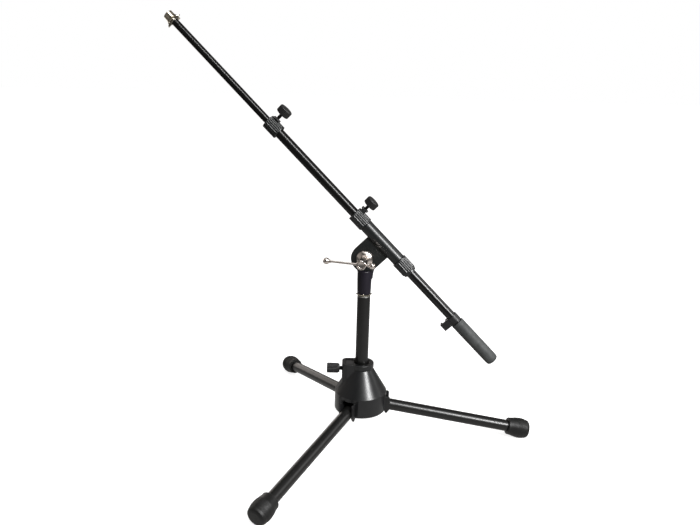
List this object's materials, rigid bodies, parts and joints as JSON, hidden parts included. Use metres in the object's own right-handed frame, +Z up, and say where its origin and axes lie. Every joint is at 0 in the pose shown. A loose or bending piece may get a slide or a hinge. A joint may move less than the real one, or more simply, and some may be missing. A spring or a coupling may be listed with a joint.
{
  "type": "boom microphone stand",
  "caption": "Low tripod microphone stand with a cast base, folding legs with rubber feet, a short pole and a tilting, telescoping boom with a counterweight grip.",
  "frame": {"origin": "floor level, in the middle of the whole stand's bounding box; the pole axis stands at x = 12.7 mm, y = 0", "axes": "+Z up; +X along the single leg opposite the base's clamp knob; the boom leans up towards -X; the boom's clamp bolt points towards -Y"},
  "size_m": [0.6305, 0.5326, 0.7045],
  "materials": {
    "cast_black": "satin black paint over the casting",
    "holder_black": "satin black powder coat",
    "tube_black": "gloss black powder coat",
    "barrel_black": "satin black",
    "plastic_black": "moulded, lightly textured",
    "collar_plastic": "moulded with fine ribs",
    "rubber_black": "matte black",
    "grip_rubber": "matte grey, grainy",
    "chrome": "bright plate",
    "nickel": "warm bright plate",
    "zinc_steel": "zinc plate",
    "black_steel": "black oxide",
    "fibre": "pressed fibre"
  },
  "bodies": {
    "base": {"base_casting": "cast_black", "base_plate": "cast_black", "base_plate_screw_front": "zinc_steel", "base_plate_screw_right": "zinc_steel", "base_plate_screw_rear": "zinc_steel", "pole_bush": "plastic_black", "base_clamp_nut": "black_steel", "base_pressure_pad": "plastic_black", "leg_bracket_front": "plastic_black", "leg_bracket_right": "plastic_black", "leg_bracket_rear": "plastic_black", "leg_pin_front": "zinc_steel", "leg_pin_right": "zinc_steel", "leg_pin_rear": "zinc_steel"},
    "base_knob": {"base_knob": "plastic_black", "base_clamp_screw": "black_steel"},
    "leg_front": {"leg_tube_front": "tube_black", "leg_end_front": "plastic_black", "foot_front": "rubber_black"},
    "leg_right": {"leg_tube_right": "tube_black", "leg_end_right": "plastic_black", "foot_right": "rubber_black"},
    "leg_rear": {"leg_tube_rear": "tube_black", "leg_end_rear": "plastic_black", "foot_rear": "rubber_black"},
    "pole": {"pole_tube": "tube_black", "pole_foot_plug": "plastic_black", "pole_stud": "zinc_steel"},
    "pole_star_nut": {"pole_star_nut": "nickel"},
    "swivel": {"swivel_mount": "barrel_black", "friction_washer": "fibre", "bolt_dome_nut": "chrome"},
    "clamp_bolt": {"clamp_bolt": "chrome"},
    "clamp_bar": {"clamp_bar": "chrome", "bar_ball_left": "chrome", "bar_ball_right": "chrome"},
    "boom_holder": {"boom_holder": "holder_black", "dish_washer": "chrome", "upper_collar": "collar_plastic", "upper_bush": "plastic_black", "lower_collar": "collar_plastic", "lower_bush": "plastic_black", "holder_nut_plate": "black_steel"},
    "holder_knob": {"holder_knob": "plastic_black", "holder_clamp_screw": "black_steel"},
    "boom_outer": {"boom_outer_tube": "tube_black", "boom_collar": "collar_plastic", "boom_bush": "plastic_black", "boom_nut_plate": "black_steel", "counterweight": "zinc_steel", "counterweight_grip": "grip_rubber"},
    "boom_knob": {"boom_knob": "plastic_black", "boom_clamp_screw": "black_steel"},
    "cable_clip": {"cable_clip": "plastic_black"},
    "boom_inner": {"boom_inner_tube": "tube_black", "inner_tube_guide": "plastic_black", "tip_stud": "zinc_steel"},
    "tip_star_nut": {"tip_star_nut": "nickel"},
    "thread_adapter": {"thread_adapter": "nickel"}
  },
  "joints": [
    {"name": "leg_fold_front", "type": "hinge", "parent": "base", "child": "leg_front", "pos_m": [-0.0048, -0.03031, 0.06122], "axis": [0.866, -0.5, 0], "range_deg": [0, 78]},
    {"name": "leg_fold_right", "type": "hinge", "parent": "base", "child": "leg_right", "pos_m": [0.0477, 0, 0.06122], "axis": [0, 1, 0], "range_deg": [0, 78]},
    {"name": "leg_fold_rear", "type": "hinge", "parent": "base", "child": "leg_rear", "pos_m": [-0.0048, 0.03031, 0.06122], "axis": [-0.866, -0.5, 0], "range_deg": [0, 78]},
    {"name": "base_knob_turn", "type": "hinge", "parent": "base", "child": "base_knob", "pos_m": [-0.0373, 0, 0.1253], "axis": [-1, 0, 0], "continuous": true},
    {"name": "pole_lift", "type": "slide", "parent": "base", "child": "pole", "axis": [0, 0, 1], "range_m": [0, 0.048]},
    {"name": "pole_star_nut_turn", "type": "hinge", "parent": "pole", "child": "pole_star_nut", "pos_m": [0.0127, 0, 0.2609], "axis": [0, 0, 1], "continuous": true},
    {"name": "boom_turn", "type": "hinge", "parent": "pole", "child": "swivel", "pos_m": [0.0127, 0, 0.2626], "axis": [0, 0, 1], "continuous": true},
    {"name": "clamp_bolt_turn", "type": "hinge", "parent": "swivel", "child": "clamp_bolt", "pos_m": [0.0127, 0, 0.3233], "axis": [-0.1693, -0.9856, 0], "continuous": true},
    {"name": "clamp_bar_slide", "type": "slide", "parent": "clamp_bolt", "child": "clamp_bar", "axis": [0.9846, -0.1692, -0.0436], "range_m": [0, 0.04]},
    {"name": "boom_tilt", "type": "hinge", "parent": "swivel", "child": "boom_holder", "pos_m": [0.0127, 0, 0.3233], "axis": [-0.1693, -0.9856, 0], "range_deg": [-25, 79]},
    {"name": "holder_knob_turn", "type": "hinge", "parent": "boom_holder", "child": "holder_knob", "pos_m": [0.01873, -0.00104, 0.41459], "axis": [0.6896, -0.1185, 0.7145], "continuous": true},
    {"name": "boom_slide", "type": "slide", "parent": "boom_holder", "child": "boom_outer", "axis": [0.7042, -0.121, -0.6997], "range_m": [-0.095, 0.17]},
    {"name": "boom_knob_turn", "type": "hinge", "parent": "boom_outer", "child": "boom_knob", "pos_m": [-0.12419, 0.02352, 0.55379], "axis": [0.6896, -0.1185, 0.7145], "continuous": true},
    {"name": "cable_clip_slide", "type": "slide", "parent": "boom_outer", "child": "cable_clip", "axis": [-0.7042, 0.121, 0.6997], "range_m": [0, 0.09]},
    {"name": "boom_extend", "type": "slide", "parent": "boom_outer", "child": "boom_inner", "axis": [-0.7042, 0.121, 0.6997], "range_m": [-0.195, 0.165]},
    {"name": "tip_star_nut_turn", "type": "hinge", "parent": "boom_inner", "child": "tip_star_nut", "pos_m": [-0.30052, 0.05382, 0.68981], "axis": [-0.7042, 0.121, 0.6997], "continuous": true},
    {"name": "thread_adapter_turn", "type": "hinge", "parent": "boom_inner", "child": "thread_adapter", "pos_m": [-0.3051, 0.05461, 0.69436], "axis": [-0.7042, 0.121, 0.6997], "continuous": true}
  ]
}
